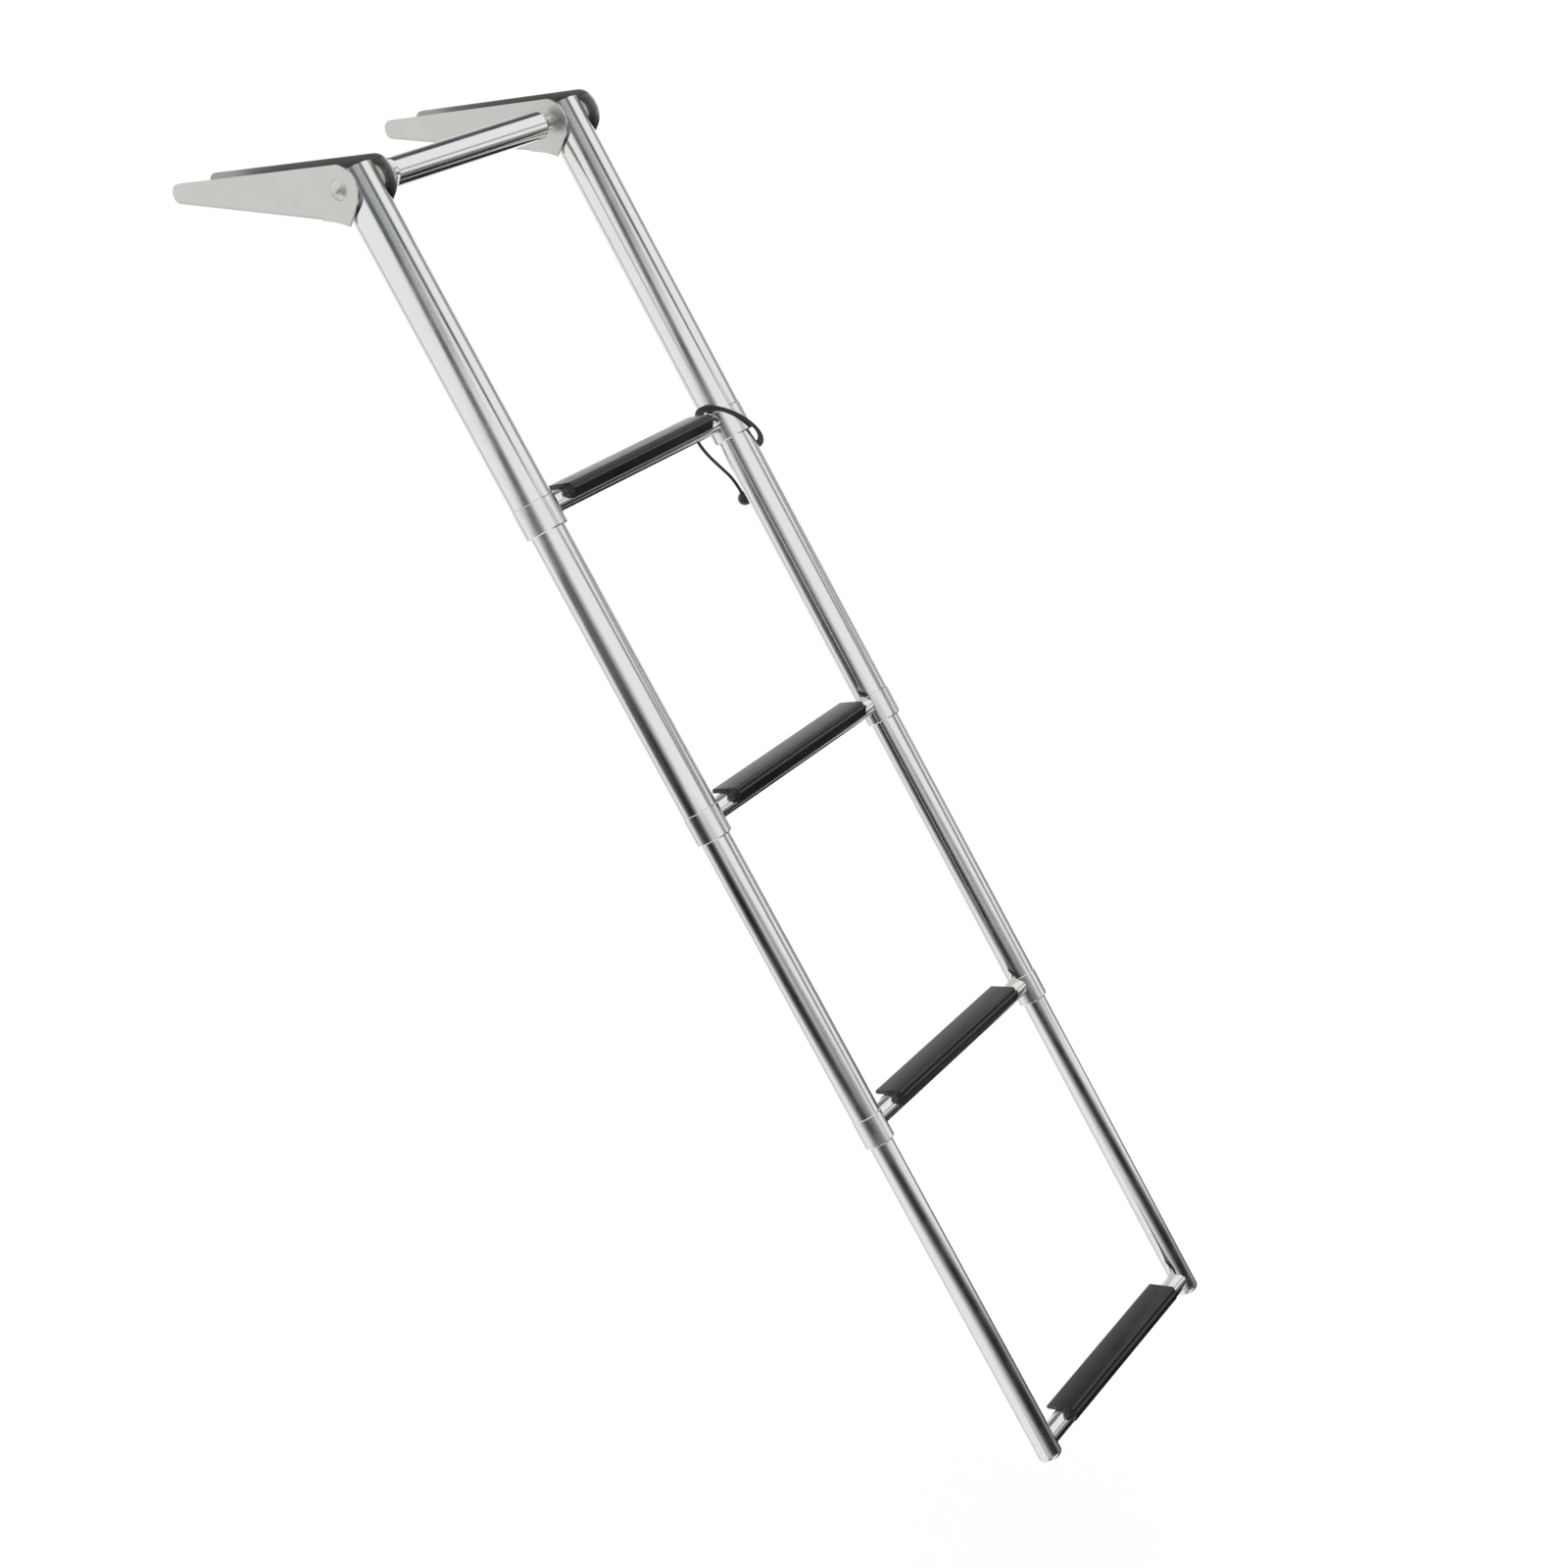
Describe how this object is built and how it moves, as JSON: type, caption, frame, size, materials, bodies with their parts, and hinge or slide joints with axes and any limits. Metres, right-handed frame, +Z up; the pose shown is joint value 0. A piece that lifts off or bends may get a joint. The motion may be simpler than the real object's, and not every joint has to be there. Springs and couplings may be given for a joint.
{
  "type": "telescopic boat ladder",
  "caption": "Telescoping stainless boarding ladder with nested stages and black treads, hinged in two deck brackets so that it slides together and folds flat on deck.",
  "frame": {"origin": "underside of the left bracket, on its centre line, at the edge of the deck", "axes": "+X along the rungs to the right bracket, +Y inboard over the deck, +Z up"},
  "size_m": [0.3155, 0.8306, 1.0936],
  "materials": {
    "polished_tube": "polished stainless tube",
    "bracket_sheet": "satin stainless sheet",
    "bolt_steel": "polished stainless fastener",
    "tread_plastic": "moulded black plastic with a faint grain",
    "guide_nylon": "natural nylon",
    "strap_rubber": "black elastic cord",
    "strap_ball_plastic": "black moulded ball"
  },
  "bodies": {
    "brackets": {"left_bracket": "bracket_sheet", "right_bracket": "bracket_sheet", "left_pivot_bolt": "bolt_steel", "right_pivot_bolt": "bolt_steel", "left_cross_tube_plug": "bolt_steel", "right_cross_tube_plug": "bolt_steel", "cross_tube": "polished_tube"},
    "stage_1": {"pivot_bushes": "guide_nylon", "strap_loop": "strap_rubber", "strap_cord": "strap_rubber", "strap_ball": "strap_ball_plastic", "left_tube_1": "polished_tube", "right_tube_1": "polished_tube", "rung_1": "polished_tube", "tread_1": "tread_plastic", "left_collar_1": "polished_tube", "right_collar_1": "polished_tube", "guides_1": "guide_nylon"},
    "stage_2": {"slide_rings_2": "guide_nylon", "left_tube_2": "polished_tube", "right_tube_2": "polished_tube", "rung_2": "polished_tube", "tread_2": "tread_plastic", "left_collar_2": "polished_tube", "right_collar_2": "polished_tube", "guides_2": "guide_nylon"},
    "stage_3": {"slide_rings_3": "guide_nylon", "left_tube_3": "polished_tube", "right_tube_3": "polished_tube", "rung_3": "polished_tube", "tread_3": "tread_plastic", "left_collar_3": "polished_tube", "right_collar_3": "polished_tube", "guides_3": "guide_nylon"},
    "stage_4": {"slide_rings_4": "guide_nylon", "left_tube_4": "polished_tube", "right_tube_4": "polished_tube", "rung_4": "polished_tube", "tread_4": "tread_plastic", "left_foot_cap": "polished_tube", "right_foot_cap": "polished_tube"}
  },
  "joints": [
    {"name": "fold_hinge", "type": "hinge", "parent": "brackets", "child": "stage_1", "pos_m": [0, -0.024, 0.027], "axis": [-1, 0, 0], "range_deg": [0, 240]},
    {"name": "slide_2", "type": "slide", "parent": "stage_1", "child": "stage_2", "axis": [0, 0.5, 0.866], "range_m": [0, 0.258]},
    {"name": "slide_3", "type": "slide", "parent": "stage_2", "child": "stage_3", "axis": [0, 0.5, 0.866], "range_m": [0, 0.266]},
    {"name": "slide_4", "type": "slide", "parent": "stage_3", "child": "stage_4", "axis": [0, 0.5, 0.866], "range_m": [0, 0.292]}
  ]
}
